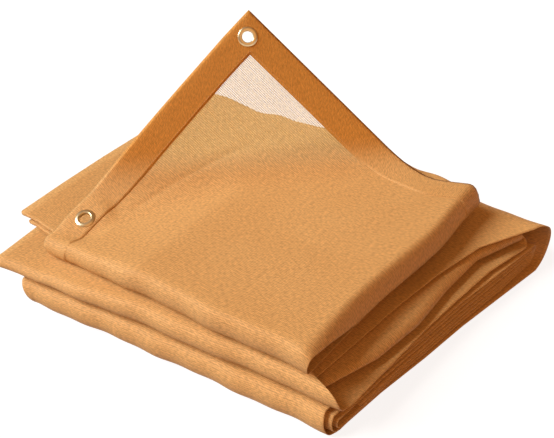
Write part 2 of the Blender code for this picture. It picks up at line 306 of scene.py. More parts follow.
def mix(a, b, t):
    """The value a share t of the way from a to b."""
    return a + (b - a) * t


def turn_line(name, x):
    """y of a turn line at x, as a curve through its three values."""
    left, middle, right = TURN_LINES[name]
    share = (x - LINE_X[0]) / (LINE_X[2] - LINE_X[0])
    wander = 0.0
    for height_mm, length_mm, start in WANDER[name.rpartition("_")[0]]:
        wander += height_mm * math.sin(2.0 * math.pi * (x - start) / length_mm)
    return mix(left, right, share) + (4.0 * middle - 2.0 * (left + right)) * share * (1.0 - share) + wander


def left_edge(y):
    """x of the sheet's hemmed left edge, before the corner is raised."""
    share = (SHEET_CORNER[1] - y) / LEFT_BOW_OVER
    return SHEET_CORNER[0] - LEFT_BOW * share * (2.0 - share)


def back_edge(x):
    """y of the sheet's hemmed back edge, before the corner is raised."""
    flare = BACK_FLARE * smooth((x - BACK_FLARE_FROM) / BACK_FLARE_OVER)
    return SHEET_CORNER[1] + BACK_EDGE_SLOPE * (x - SHEET_CORNER[0]) + flare


def curve(stations, values, at):
    """A smooth curve through a value at each of the rising stations."""
    at = min(max(at, stations[0]), stations[-1])
    last = len(stations) - 1
    k = max(i for i in range(last) if stations[i] <= at)
    span = stations[k + 1] - stations[k]
    slopes = []
    for i in (k, k + 1):
        before, after = max(i - 1, 0), min(i + 1, last)
        slopes.append((values[after] - values[before]) / (stations[after] - stations[before]))
    t = (at - stations[k]) / span
    ease = t * t * (3.0 - 2.0 * t)
    bend = (t ** 3 - 2.0 * t * t + t) * slopes[0] + (t ** 3 - t * t) * slopes[1]
    return mix(values[k], values[k + 1], ease) + span * bend


def between(table, level):
    """The values for a level, between those of the two nearest levels in a table."""
    for low, high in zip(table, table[1:]):
        if level <= high[0]:
            break
    t = (level - low[0]) / (high[0] - low[0])
    return [mix(a, b, t) for a, b in zip(low[1:], high[1:])]


def right_end(level, y):
    """x of a layer's right end at y."""
    return curve(RIGHT_Y, between(RIGHT_ENDS, level), y)


def layer_ends(level, y):
    """The left and right ends in x of a layer at y."""
    if level in (TOP_LEVEL, FOLDS[-1][1]):
        left = left_edge(y) + HEM_WIDTH - HEM_LAP
    else:
        front, back = between(LEFT_ENDS, level)
        share = min(max((y - ENDS_FRONT_Y) / (ENDS_BACK_Y - ENDS_FRONT_Y), 0.0), 1.0)
        left = mix(front, back, smooth(LEFT_EASE * share))
    return left, right_end(level, y)


def height(level, x, y=0.0):
    """Height of a layer's middle surface, which lies lower at the left end."""
    rise = TOP_HEIGHT - SOLID_CLOTH / 2 if level == TOP_LEVEL else PITCH * level
    share = min(max((PRESS_FROM - x) / PRESS_OVER, 0.0), 1.0)
    z = SOLID_CLOTH / 2 + mix(rise, between(PRESSED, rise)[0], share)
    if level in DROOPS:
        drop, over = DROOPS[level]
        front, back = DROOP_FADES
        drop *= mix(DROOP_FRONT, 1.0, smooth((y - front) / (back - front)))
        z -= drop * min(max((x - right_end(level, y)) / over + 1.0, 0.0), 1.0) ** DROOP_ROUND
    return z


def raised(x, y):
    """A point of the top layer, with its corner turned up about the bend, which is wider at its left end."""
    flat = Vector((x, y))
    across = Vector((-BEND_DIRECTION.y, BEND_DIRECTION.x))
    offset = flat - Vector(BEND_POINT)
    ease = smooth(offset.dot(BEND_DIRECTION) / BEND_EASES_OVER)
    radius = mix(BEND_RADIUS_LEFT, BEND_RADIUS_RIGHT, ease)
    past = offset.dot(across) + radius * math.tan(BEND_ANGLE / 2)
    low = TOP_HEIGHT - height(TOP_LEVEL, min(flat.x - across.x * past, 0.0))
    past += low / math.tan(BEND_ANGLE)
    if past <= 0.0:
        return Vector((x, y, height(TOP_LEVEL, x, y)))
    foot = flat - across * past
    angle = min(past / radius, BEND_ANGLE)
    straight = max(past - radius * BEND_ANGLE, 0.0)
    level = foot + across * (radius * math.sin(angle) + straight * math.cos(angle))
    lift = radius * (1.0 - math.cos(angle)) + straight * math.sin(angle)
    return Vector((level.x, level.y, height(TOP_LEVEL, foot.x, foot.y) + lift))


def eyelet_places():
    """Places of the two eyelets on the flat top layer."""
    from_left, from_back = CORNER_INSET
    corner_y = back_edge(SHEET_CORNER[0]) - from_back
    return {
        "eyelet_corner": Vector((left_edge(corner_y) + from_left, corner_y)),
        "eyelet_side": Vector((left_edge(SIDE_EYELET_Y) + SIDE_INSET, SIDE_EYELET_Y)),
    }


def tangent(name, place):
    """The point under an eyelet and the cloth's two directions there, turned up a little at the side one."""
    centre = raised(place.x, place.y)
    along_x = (raised(place.x + PROBE, place.y) - raised(place.x - PROBE, place.y)) / (2 * PROBE)
    along_y = (raised(place.x, place.y + PROBE) - raised(place.x, place.y - PROBE)) / (2 * PROBE)
    if name == "eyelet_side":
        tilt = Matrix.Rotation(SIDE_TILT, 3, BEND_DIRECTION.to_3d())
        return centre + Vector((0.0, 0.0, SIDE_LIFT)), tilt @ along_x, tilt @ along_y
    return centre, along_x, along_y


def crease(x, y):
    """How far the soft creases of the top layer rise or sink at a point."""
    lift = 0.0
    for high, wide, line in CREASES:
        for a, b in zip(line, line[1:]):
            start, run = Vector(a), Vector(b) - Vector(a)
            offset = Vector((x, y)) - start
            share = min(max(offset.dot(run) / run.length_squared, 0.0), 1.0)
            away = (offset - run * share).length
            fade = math.exp(-(away / wide) ** 2)
            lift = high * fade if abs(high * fade) > abs(lift) else lift
    return lift


def top_point(x, y):
    """A point of the top layer with its creases, flat where an eyelet is clamped."""
    point = raised(x, y)
    point.z += crease(x, y)
    for name, place in eyelet_places().items():
        offset = Vector((x, y)) - place
        if offset.length < SEAT_BLEND:
            centre, along_x, along_y = tangent(name, place)
            seat = centre + along_x * offset.x + along_y * offset.y
            hold = 1.0 - smooth((offset.length - SEAT_FLAT) / (SEAT_BLEND - SEAT_FLAT))
            point = point.lerp(seat, hold)
    return point


def grid_x(level, y, station):
    """x of a grid line at y: station 0 is the layer's left end and the last station its right end."""
    left, right = layer_ends(level, y)
    cell = (GRID_TO - GRID_FROM) / GRID_CELLS
    if station > GRID_CELLS + 1:
        return mix(GRID_TO, right, (station - GRID_CELLS - 1) / RIGHT_CELLS)
    if left > GRID_FROM and station < HEM_CELLS + 1:
        return mix(left, GRID_FROM + HEM_CELLS * cell, station / (HEM_CELLS + 1))
    if station < 1:
        return mix(left, GRID_FROM, station)
    return GRID_FROM + (station - 1) * cell


def layer_point(level, station, y):
    """A point on a flat run of the sheet."""
    x = grid_x(level, y, station)
    if level == TOP_LEVEL:
        return top_point(x, y)
    return Vector((x, y, height(level, x, y)))


def turn_point(line, level, station):
    """Where a layer meets the turn line of a fold: x and y."""
    x = grid_x(level, TURN_LINES[line][1], station)
    return x, turn_line(line, x)


def bulge(turn):
    """How far out a fold is at a share of its turn, from 0 at both ends to 1 in the middle."""
    return max(math.sin(math.pi * turn), 0.0) ** FULLNESS


def fold_point(fold, station, turn):
    """A point on a fold, with turn from 0 on the level it leaves to 1 on the level it reaches."""
    line, start, end, depth, lean = fold
    outward = -1.0 if line.endswith("front") else 1.0
    share = (1.0 - math.cos(math.pi * turn)) / 2
    x_start, y_start = turn_point(line, start, station)
    x_end, y_end = turn_point(line, end, station)
    x = mix(x_start, x_end, turn ** lean)
    y = mix(y_start, y_end, turn) + outward * depth * bulge(turn)
    return Vector((x, y, mix(height(start, x, y), height(end, x, y), share)))


def sheet_rows(settings):
    """Rows of points along the whole sheet, from its free end in the roll to the top layer's hem."""
    count = (1 + GRID_CELLS + RIGHT_CELLS) * settings.across
    columns = [k / settings.across for k in range(count + 1)]
    rows = []
    begin = [FREE_END] * len(columns)
    for fold in FOLDS:
        line, start, end = fold[:3]
        turn = [turn_point(line, start, k)[1] for k in columns]
        for step in range(1 if rows else 0, settings.run_cells + 1):
            t = step / settings.run_cells
            rows.append([layer_point(start, k, mix(a, b, t)) for k, a, b in zip(columns, begin, turn)])
        cells = settings.fold_cells + abs(end - start)
        for step in range(1, cells):
            rows.append([fold_point(fold, k, step / cells) for k in columns])
        begin = [turn_point(line, end, k)[1] for k in columns]
        if end != TOP_LEVEL:
            rows.append([layer_point(end, k, y) for k, y in zip(columns, begin)])
    for step in range(settings.top_cells + 1):
        t = step / settings.top_cells
        row = []
        for k in columns:
            x, front = turn_point("top_front", TOP_LEVEL, k)
            x = mix(x, grid_x(TOP_LEVEL, SHEET_CORNER[1], k), t)
            row.append(layer_point(TOP_LEVEL, k, mix(front, back_edge(x) - HEM_WIDTH + HEM_LAP, t)))
        rows.append(row)
    return rows


def seat(x, y):
    """A point of the top layer and the direction that the cloth faces there."""
    centre = top_point(x, y)
    normal = (top_point(x + PROBE, y) - centre).cross(top_point(x, y + PROBE) - centre).normalized()
    return centre, normal


def hem_surface(settings):
    """Rows of points and normals across the hem: up the left edge, round the corner, along the back."""
    rows = []
    across = [k / settings.hem_across for k in range(settings.hem_across + 1)]
    line, under, _, depth, _ = FOLDS[-1]
    front = turn_line(line, left_edge(ENDS_FRONT_Y))
    down = Vector((0.0, 0.0, -1.0))
    for y in (front + HEM_STUB, front):
        row = []
        for w in across:
            x = left_edge(y) + HEM_WIDTH * w
            row.append((Vector((x, y, height(under, x))), down))
        rows.append(row)
    for k in range(1, settings.fold_cells):
        t = k / settings.fold_cells
        share = (1.0 - math.cos(math.pi * t)) / 2
        normal = Vector((0.0, -math.sin(math.pi * t), -math.cos(math.pi * t)))
        row = []
        for w in across:
            x = left_edge(front) + HEM_WIDTH * w
            low = Vector((x, front, height(under, x)))
            point = low.lerp(top_point(x, front), share)
            point.y = front - depth * bulge(t)
            row.append((point, normal))
        rows.append(row)
    for k in range(settings.hem_along):
        row = []
        for w in across:
            corner_x = SHEET_CORNER[0] + HEM_WIDTH * w
            corner_y = back_edge(corner_x) - HEM_WIDTH * w
            y = mix(front, corner_y, k / settings.hem_along)
            row.append(seat(left_edge(y) + HEM_WIDTH * w, y))
        rows.append(row)
    for k in range(settings.hem_along + 1):
        row = []
        for w in across:
            corner_y = SHEET_CORNER[1] - HEM_WIDTH * w
            x = mix(left_edge(corner_y) + HEM_WIDTH * w, HEM_END, k / settings.hem_along)
            row.append(seat(x, back_edge(x) - HEM_WIDTH * w))
        rows.append(row)
    return rows


def doubled(row, half):
    """The line across a folded hem: in from the inner edge on top, round the outer edge, and back below."""
    count = len(row) - 1
    line = []
    for side, order in ((1.0, range(count, -1, -1)), (-1.0, range(1, count + 1))):
        for k in order:
            point, normal = row[k]
            rounded = math.sin(math.pi / 2 * min(k / HEM_ROUND, 1.0))
            sewn = 1.0 - SEWN_DOWN * smooth(k - count + 1.0)
            line.append(point + normal * (side * half * rounded * sewn))
    return line


def openness(point):
    """How far the knit's holes are drawn open, fully on the raised corner and hardly on the packet; the same
    share masks the painted glow and the hem's painted shade.
    """
    return smooth((point.z - OPEN_FROM) / OPEN_OVER)


def loft(name, rows, sign=1.0):
    """A surface through rows of points, with a UV map of its flat sizes in metres and its knit's openness."""
    mesh = bpy.data.meshes.new(name)
    bm = bmesh.new()
    flat = bm.loops.layers.uv.new("flat")
    openness_and_painted_light = bm.verts.layers.float.new("open")
    grid = []
    for row in rows:
        grid.append([])
        for point in row:
            corner = bm.verts.new((point - CENTRE) * MM)
            corner[openness_and_painted_light] = sign * openness(point)
            grid[-1].append(corner)
    middle = len(rows[0]) // 2
    along = [0.0]
    for low, high in zip(grid, grid[1:]):
        along.append(along[-1] + (high[middle].co - low[middle].co).length)
    across = []
    for row in grid:
        reach = [0.0]
        for a, b in zip(row, row[1:]):
            reach.append(reach[-1] + (b.co - a.co).length)
        across.append([r - reach[middle] for r in reach])
    for j, (low, high) in enumerate(zip(grid, grid[1:])):
        for i in range(len(low) - 1):
            face = bm.faces.new((low[i], low[i + 1], high[i + 1], high[i]))
            face.smooth = True
            corners = ((j, i), (j, i + 1), (j + 1, i + 1), (j + 1, i))
            for loop, (row, column) in zip(face.loops, corners):
                loop[flat].uv = (across[row][column], along[row])
    bm.to_mesh(mesh)
    bm.free()
    return mesh


def flat_size(rows):
    """Mean width and length of a lofted sheet, in metres."""
    widths = [sum((b - a).length for a, b in zip(row, row[1:])) for row in rows]
    columns = list(zip(*rows))
    lengths = [sum((b - a).length for a, b in zip(column, column[1:])) for column in columns]
    return MM * sum(widths) / len(widths), MM * sum(lengths) / len(lengths)


def show(mesh, name):
    """A new object for a mesh, in the scene."""
    piece = bpy.data.objects.new(name, mesh)
    bpy.context.scene.collection.objects.link(piece)
    return piece


def thicken(piece, thickness):
    """Gives a sheet its thickness, half to each side."""
    wall = piece.modifiers.new("thickness", "SOLIDIFY")
    wall.thickness = thickness * MM
    wall.offset = 0.0
    wall.use_even_offset = False


def node(tree, kind, links=(), values=(), **settings):
    """Adds a node with its settings, links outputs into its inputs and sets the values of other inputs."""
    made = tree.nodes.new(kind)
    for key, value in settings.items():
        setattr(made, key, value)
    for source, target in links:
        tree.links.new(source, made.inputs[target])
    for target, value in values:
        made.inputs[target].default_value = value
    return made


def wave(tree, value, pitch, phase=None):
    """A cosine between 0 and 1 along a coordinate, with a pitch in millimetres."""
    rate = 2.0 * math.pi / (pitch * MM)
    turns = node(tree, "ShaderNodeMath", [(value, 0)], [(1, rate)], operation="MULTIPLY")
    if phase is not None:
        turns = node(tree, "ShaderNodeMath", [(turns.outputs[0], 0), (phase, 1)], operation="ADD")
    swing = node(tree, "ShaderNodeMath", [(turns.outputs[0], 0)], operation="COSINE")
    halved = [(1, 0.5), (2, 0.5)]
    return node(tree, "ShaderNodeMath", [(swing.outputs[0], 0)], halved, operation="MULTIPLY_ADD")


def finish_named(name):
    """A new material, its node tree and its shader."""
    finish = bpy.data.materials.new(name)
    finish.use_nodes = True
    tree = finish.node_tree
    return finish, tree, tree.nodes["Principled BSDF"]


def knitted_net(settings):
    """Warp knit of flat polyethylene tape."""
    # Matt ribs with small holes between them: what is behind shows through, and the edges look soft
    finish, tree, shader = finish_named("knitted_polyethylene")
    shader.inputs["Roughness"].default_value = 0.6
    shader.inputs["Specular IOR Level"].default_value = 0.25
    flat = node(tree, "ShaderNodeUVMap", uv_map="flat")
    openness_and_painted_light = node(tree, "ShaderNodeAttribute", attribute_name="open")
    yarn = knit_pattern(tree, flat, settings)
    cover = knit_cover(tree, yarn, openness_and_painted_light, settings)
    tree.links.new(cover.outputs[0], shader.inputs["Alpha"])
    tone = knit_tone(tree, flat, openness_and_painted_light, settings)
    shade = knit_shade(tree, flat, yarn)
    darkened = node(tree, "ShaderNodeVectorMath", [(tone, 0), (shade, "Scale")], operation="SCALE")
    tree.links.new(darkened.outputs[0], shader.inputs["Base Color"])
    relief = node(tree, "ShaderNodeBump", [(yarn.outputs[0], "Height")],
                  [("Strength", RELIEF_STRENGTH), ("Distance", RELIEF_DEPTH * MM)])
    tree.links.new(relief.outputs[0], shader.inputs["Normal"])
    return finish


def knit_pattern(tree, flat, settings):
    """Ribs along the folds with loops across them, a little coarser than the real knit so that they show."""
    axes = node(tree, "ShaderNodeSeparateXYZ", [(flat.outputs[0], 0)])
    ribs = wave(tree, axes.outputs[1], settings.rib_pitch)
    # Each second rib has its loops half a pitch further on
    sway = wave(tree, axes.outputs[1], 2.0 * settings.rib_pitch)
    shift = node(tree, "ShaderNodeMath", [(sway.outputs[0], 0)], [(1, math.pi)], operation="MULTIPLY")
    loops = wave(tree, axes.outputs[0], settings.loop_pitch, shift.outputs[0])
    return node(tree, "ShaderNodeMath", [(ribs.outputs[0], 0), (loops.outputs[0], 1)], operation="MAXIMUM")


def knit_cover(tree, yarn, openness_and_painted_light, settings):
    """Where there is yarn and where a hole: the holes are drawn open where the cloth hangs free."""
    edge = node(tree, "ShaderNodeMapRange", [(openness_and_painted_light.outputs["Fac"], "Value")],
                [("To Min", settings.hole_shut), ("To Max", settings.hole_open)])
    past = node(tree, "ShaderNodeMath", [(yarn.outputs[0], 0), (edge.outputs[0], 1)], operation="SUBTRACT")
    return node(tree, "ShaderNodeMapRange", [(past.outputs[0], "Value")],
                [("From Min", -HOLE_EDGE), ("From Max", HOLE_EDGE)])


def knit_tone(tree, flat, openness_and_painted_light, settings):
    """The tape's colour: a little uneven, with a painted glow where the single net hangs free and a painted
    shade on the doubled hem there.
    """
    cloud = node(tree, "ShaderNodeTexNoise", [(flat.outputs[0], "Vector")],
                 [("Scale", 1.0 / (CLOUD_WIDTH * MM)), ("Detail", 3.0)])
    tint = node(tree, "ShaderNodeMix", [(cloud.outputs[0], "Factor")],
                [(MIX_FIRST, settings.deep_tone), (MIX_SECOND, settings.light_tone)], data_type="RGBA")
    free = openness_and_painted_light.outputs["Fac"]
    # Painted glow: the single net is painted lighter where it hangs free, in place of light coming through it
    painted_glow = node(tree, "ShaderNodeMix", [(free, "Factor"), (tint.outputs[MIX_RESULT], MIX_FIRST)],
               [(MIX_SECOND, settings.painted_glow_tone)], data_type="RGBA")
    # Painted shade: the doubled hem is painted a deeper tone where it hangs free
    hem = node(tree, "ShaderNodeMapRange", [(free, "Value")],
               [("From Min", 0.0), ("From Max", HEM_SIGN)])
    double = node(tree, "ShaderNodeMix", [(hem.outputs[0], "Factor"), (painted_glow.outputs[MIX_RESULT], MIX_FIRST)],
                  [(MIX_SECOND, settings.painted_hem_shade_tone)], data_type="RGBA")
    return double.outputs[MIX_RESULT]


def knit_shade(tree, flat, yarn):
    """A fine grain along the ribs, and painted shade in the hollows between them."""
    scale = (1.0 / (GRAIN_LENGTH * MM), 1.0 / (GRAIN_WIDTH * MM), 1.0)
    stretch = node(tree, "ShaderNodeMapping", [(flat.outputs[0], "Vector")], [("Scale", scale)])
    grain = node(tree, "ShaderNodeTexNoise", [(stretch.outputs[0], "Vector")],
                 [("Scale", 1.0), ("Detail", 1.0)])
    low, high = GRAIN_SHOWS
    dark, light = GRAIN_TONES
    speck = node(tree, "ShaderNodeMapRange", [(grain.outputs[0], "Value")],
                 [("From Min", low), ("From Max", high), ("To Min", dark), ("To Max", light)])
    # Painted shade: the hollows between the ribs are painted darker
    painted_hollow_shade = node(tree, "ShaderNodeMapRange", [(yarn.outputs[0], "Value")],
                  [("From Min", HOLLOW_REACH), ("From Max", 1.0), ("To Min", HOLLOW_SHADE_TONE), ("To Max", 1.0)])
    both = [(speck.outputs[0], 0), (painted_hollow_shade.outputs[0], 1)]
    return node(tree, "ShaderNodeMath", both, operation="MULTIPLY").outputs[0]


def polished_brass(settings):
    """Stamped and plated brass."""
    # A warm metal with soft highlights, which fine wear breaks up a little
    finish, tree, shader = finish_named("eyelet_brass")
    shader.inputs["Base Color"].default_value = settings.tone
    shader.inputs["Metallic"].default_value = 1.0
    place = node(tree, "ShaderNodeTexCoord")
    wear = node(tree, "ShaderNodeTexNoise", [(place.outputs["Object"], "Vector")],
                [("Scale", 1.0 / (WEAR_WIDTH * MM))])
    smoothest, roughest = BRASS_ROUGHNESS
    rough = node(tree, "ShaderNodeMapRange", [(wear.outputs[0], "Value")],
                 [("To Min", smoothest), ("To Max", roughest)])
    tree.links.new(rough.outputs[0], shader.inputs["Roughness"])
    return finish


def sewing_thread(settings):
    """Twisted polyester thread."""
    # A soft sheen, a shade lighter than the net, so that the seam only just shows
    finish, _, shader = finish_named("polyester_thread")
    shader.inputs["Base Color"].default_value = settings.tone
    shader.inputs["Roughness"].default_value = 0.5
    return finish


def white_floor():
    """Matt painted studio floor."""
    # Plain white all over, with only a faint shadow beside the packet
    finish, _, shader = finish_named("studio_floor")
    shader.inputs["Base Color"].default_value = linear("#8C8C8C")
    shader.inputs["Roughness"].default_value = 0.9
    shader.inputs["Specular IOR Level"].default_value = 0.0
    shader.inputs["Emission Color"].default_value = linear("#FFFFFF")
    shader.inputs["Emission Strength"].default_value = 0.85
    return finish


def stitch_tree(thread):
    """Geometry nodes that lay stitches along a line at an even pitch, each a little different in length."""
    tree = bpy.data.node_groups.new("hem_stitches", "GeometryNodeTree")
    tree.interface.new_socket("Line", in_out="INPUT", socket_type="NodeSocketGeometry")
    for name in ("Pitch", "Stitch length", "Thread radius"):
        tree.interface.new_socket(name, in_out="INPUT", socket_type="NodeSocketFloat")
    tree.interface.new_socket("Stitches", in_out="OUTPUT", socket_type="NodeSocketGeometry")
    given = node(tree, "NodeGroupInput")
    line = node(tree, "GeometryNodeMeshToCurve", [(given.outputs["Line"], 0)])
    pitch = given.outputs["Pitch"]
    spots = node(tree, "GeometryNodeCurveToPoints", [(line.outputs[0], 0), (pitch, "Length")], mode="LENGTH")
    ball = node(tree, "GeometryNodeMeshUVSphere", (),
                [("Segments", STITCH_SIDES), ("Rings", STITCH_RINGS), ("Radius", 1.0)])
    turn = node(tree, "FunctionNodeAlignRotationToVector", [(spots.outputs["Tangent"], "Vector")], axis="Z")
    chance = node(tree, "FunctionNodeRandomValue", (), [("Seed", STITCH_SEED)], data_type="FLOAT")
    for name, value in zip(("Min", "Max"), STITCH_HALF):
        next(i for i in chance.inputs if i.name == name and i.type == "VALUE").default_value = value
    drawn = next(o for o in chance.outputs if o.type == "VALUE")
    length = given.outputs["Stitch length"]
    reach = node(tree, "ShaderNodeMath", [(length, 0), (drawn, 1)], operation="MULTIPLY")
    radius = given.outputs["Thread radius"]
    size = node(tree, "ShaderNodeCombineXYZ", [(radius, 0), (radius, 1), (reach.outputs[0], 2)])
    laid = node(tree, "GeometryNodeInstanceOnPoints", [
        (spots.outputs["Points"], "Points"),
        (ball.outputs["Mesh"], "Instance"),
        (turn.outputs[0], "Rotation"),
        (size.outputs[0], "Scale"),
    ])
    real = node(tree, "GeometryNodeRealizeInstances", [(laid.outputs[0], 0)])
    soft = node(tree, "GeometryNodeSetShadeSmooth", [(real.outputs[0], 0)])
    dressed = node(tree, "GeometryNodeSetMaterial", [(soft.outputs[0], 0)], [("Material", thread)])
    node(tree, "NodeGroupOutput", [(dressed.outputs[0], 0)])
    return tree


def material(name, make, *values):
    """A material by name, made once."""
    return bpy.data.materials.get(name) or make(*values)


def tone_setting(name, description, code):
    """A colour that the user can change, given as an sRGB hex value."""
    return FloatVectorProperty(name=name, description=description, default=linear(code), size=4,
                               subtype="COLOR")


class NetSettings(bpy.types.PropertyGroup):
    """Sizes and tones of the net and its hem"""

    thickness: FloatProperty(name="Thickness", description="Thickness of the net in mm", default=0.5)
    rib_pitch: FloatProperty(name="Rib pitch", description="Distance between the ribs in mm", default=1.8)
    loop_pitch: FloatProperty(name="Loop pitch", description="Distance between the loops in mm", default=1.4)
    hole_shut: FloatProperty(name="Shut holes", description="Where the yarn ends on the packet", default=0.02)
    hole_open: FloatProperty(name="Open holes", description="Where the yarn ends on the corner", default=0.77)
    across: IntProperty(name="Cells across", description="Grid cells for each shared cell in x", default=6)
    run_cells: IntProperty(name="Cells on a run", description="Grid cells along a hidden layer", default=5)
    fold_cells: IntProperty(name="Cells on a fold", description="Grid cells round a fold", default=10)
    top_cells: IntProperty(name="Cells on top", description="Grid cells along the top layer", default=104)
    hem_across: IntProperty(name="Cells across the hem", description="Grid cells across the hem", default=12)
    hem_along: IntProperty(name="Cells along the hem", description="Grid cells on each leg", default=96)
    hem_half: FloatProperty(name="Hem half height", description="Half of the doubled hem in mm", default=0.5)
    deep_tone: tone_setting("Deep tone", "The tape's deeper tone", "#DEAA68")
    light_tone: tone_setting("Light tone", "The tape's lighter tone", "#E8B877")
    # Painted glow of the single net where it hangs free
    painted_glow_tone: tone_setting("Glow", "Tone of the single net where light comes through it", "#FDEDB4")
    # Painted shade of the doubled hem where it hangs free
    painted_hem_shade_tone: tone_setting("Double tone", "Tone of the doubled net, which stops the light", "#E3A149")


class EyeletSettings(bpy.types.PropertyGroup):
    """Sizes and tone of the eyelets"""

    hole: FloatProperty(name="Hole radius", description="Radius of the open hole in mm", default=5.5)
    flange: FloatProperty(name="Flange radius", description="Outer radius of the flange in mm", default=10.0)
    half: FloatProperty(name="Half height", description="Half of the clamped eyelet in mm", default=2.3)
    steps: IntProperty(name="Steps", description="Faces round the eyelet", default=64)
    tone: tone_setting("Brass", "Tone of the plated brass", "#F3E3BC")


class SeamSettings(bpy.types.PropertyGroup):
    """Sizes and tone of the hem's stitches"""

    pitch: FloatProperty(name="Stitch pitch", description="Distance between the stitches in mm", default=3.15)
    length: FloatProperty(name="Stitch length", description="Length of a stitch in mm", default=2.7)
    thread: FloatProperty(name="Thread radius", description="Radius of the thread in mm", default=0.28)
    inset: FloatProperty(name="Inset", description="Share of the hem's width from its outer edge",
                         default=0.88, subtype="FACTOR", min=0.0, max=1.0)
    tone: tone_setting("Thread", "Tone of the sewing thread", "#E2AE6B")


class StageSettings(bpy.types.PropertyGroup):
    """Camera and light"""

    azimuth: FloatProperty(name="Azimuth", description="Camera's angle round the cloth",
                           default=math.radians(36.0), subtype="ANGLE")
    elevation: FloatProperty(name="Elevation", description="Camera's angle above the floor",
                             default=math.radians(37.5), subtype="ANGLE")
    distance: FloatProperty(name="Distance", description="Camera to target", default=0.85, unit="LENGTH")
    lens: FloatProperty(name="Lens", description="Focal length in mm", default=55.23)
    world: FloatProperty(name="Sky", description="Strength of the soft light from all round", default=0.27)
    key: FloatProperty(name="Key", description="Strength of the large soft light at the left", default=3.6)
    fill: FloatProperty(name="Fill", description="Strength of the weak light at the right", default=0.62)
    softness: FloatProperty(name="Softness", description="Angle that the key light fills",
                            default=math.radians(32.0), subtype="ANGLE")
    sky_tone: tone_setting("Sky tone", "Warm tone of the weak light and of the sky", "#FFBB7C")


class CLOTH_OT_net(bpy.types.Operator):
    """Builds the folded net as one thin sheet"""

    bl_idname = "cloth.net"
    bl_label = "Folded net"

    def execute(self, context):
        settings = context.scene.cloth_net
        rows = sheet_rows(settings)
        piece = show(loft("folded_net", rows), "folded_net")
        piece.data.materials.append(material("knitted_polyethylene", knitted_net, settings))
        thicken(piece, settings.thickness)
        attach(piece, "root")
        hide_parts("folded_cloth")
        return {"FINISHED"}


class CLOTH_OT_hem(bpy.types.Operator):
    """Builds the doubled hem of the raised corner"""

    bl_idname = "cloth.hem"
    bl_label = "Doubled hem"

    def execute(self, context):
        settings = context.scene.cloth_net
        rows = [doubled(row, settings.hem_half) for row in hem_surface(settings)]
        piece = show(loft("hem_band", rows, HEM_SIGN), "hem_band")
        piece.data.materials.append(material("knitted_polyethylene", knitted_net, settings))
        thicken(piece, settings.thickness)
        cutters = [self.cutter(name, place) for name, place in eyelet_places().items()]
        for cutter in cutters:
            cut = piece.modifiers.new(cutter.name, "BOOLEAN")
            cut.object = cutter
            cut.operation = "DIFFERENCE"
            cut.solver = "EXACT"
        solid = piece.evaluated_get(context.evaluated_depsgraph_get())
        mesh = bpy.data.meshes.new_from_object(solid)
        piece.modifiers.clear()
        piece.data = mesh
        for cutter in cutters:
            bpy.data.objects.remove(cutter, do_unlink=True)
        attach(piece, "root")
        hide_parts("corner_hem")
        return {"FINISHED"}

    def cutter(self, name, place):
        """A cylinder through the hem where an eyelet is."""
        mesh = bpy.data.meshes.new("cut_" + name)
        bm = bmesh.new()
        bmesh.ops.create_cone(
            bm, segments=CUT_SIDES, radius1=CUT_RADIUS * MM, radius2=CUT_RADIUS * MM, depth=CUT_DEPTH * MM,
            cap_ends=True, matrix=eyelet_frame(name, place),
        )
        bm.to_mesh(mesh)
        bm.free()
        return show(mesh, "cut_" + name)


def eyelet_frame(name, place):
    """Placement of an eyelet: its axis along the cloth's normal."""
    centre, along_x, along_y = tangent(name, place)
    normal = along_x.cross(along_y).normalized()
    side = along_x.normalized()
    turn = Matrix((side, normal.cross(side), normal)).transposed().to_4x4()
    return Matrix.Translation((centre - CENTRE) * MM) @ turn


class CLOTH_OT_seam(bpy.types.Operator):
    """Sews the hem down with a row of stitches near its inner edge"""

    bl_idname = "cloth.seam"
    bl_label = "Hem's stitches"

    def execute(self, context):
        net, seam = context.scene.cloth_net, context.scene.cloth_seam
        column = round(seam.inset * net.hem_across)
        line = []
        for row in hem_surface(net):
            point, normal = row[column]
            line.append((point + normal * (net.hem_half + net.thickness / 2) - CENTRE) * MM)
        mesh = bpy.data.meshes.new("seam_line")
        mesh.from_pydata(line, [(k, k + 1) for k in range(len(line) - 1)], [])
        piece = show(mesh, "hem_stitches")
        laid = piece.modifiers.new("stitches", "NODES")
        laid.node_group = stitch_tree(material("polyester_thread", sewing_thread, seam))
        sizes = {"Pitch": seam.pitch, "Stitch length": seam.length, "Thread radius": seam.thread}
        for socket in laid.node_group.interface.items_tree:
            if socket.name in sizes:
                laid[socket.identifier] = sizes[socket.name] * MM
        mesh = bpy.data.meshes.new_from_object(piece.evaluated_get(context.evaluated_depsgraph_get()))
        if not mesh.polygons:
            raise RuntimeError("no stitches were laid along the hem")
        piece.modifiers.clear()
        piece.data = mesh
        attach(piece, "root")
        return {"FINISHED"}


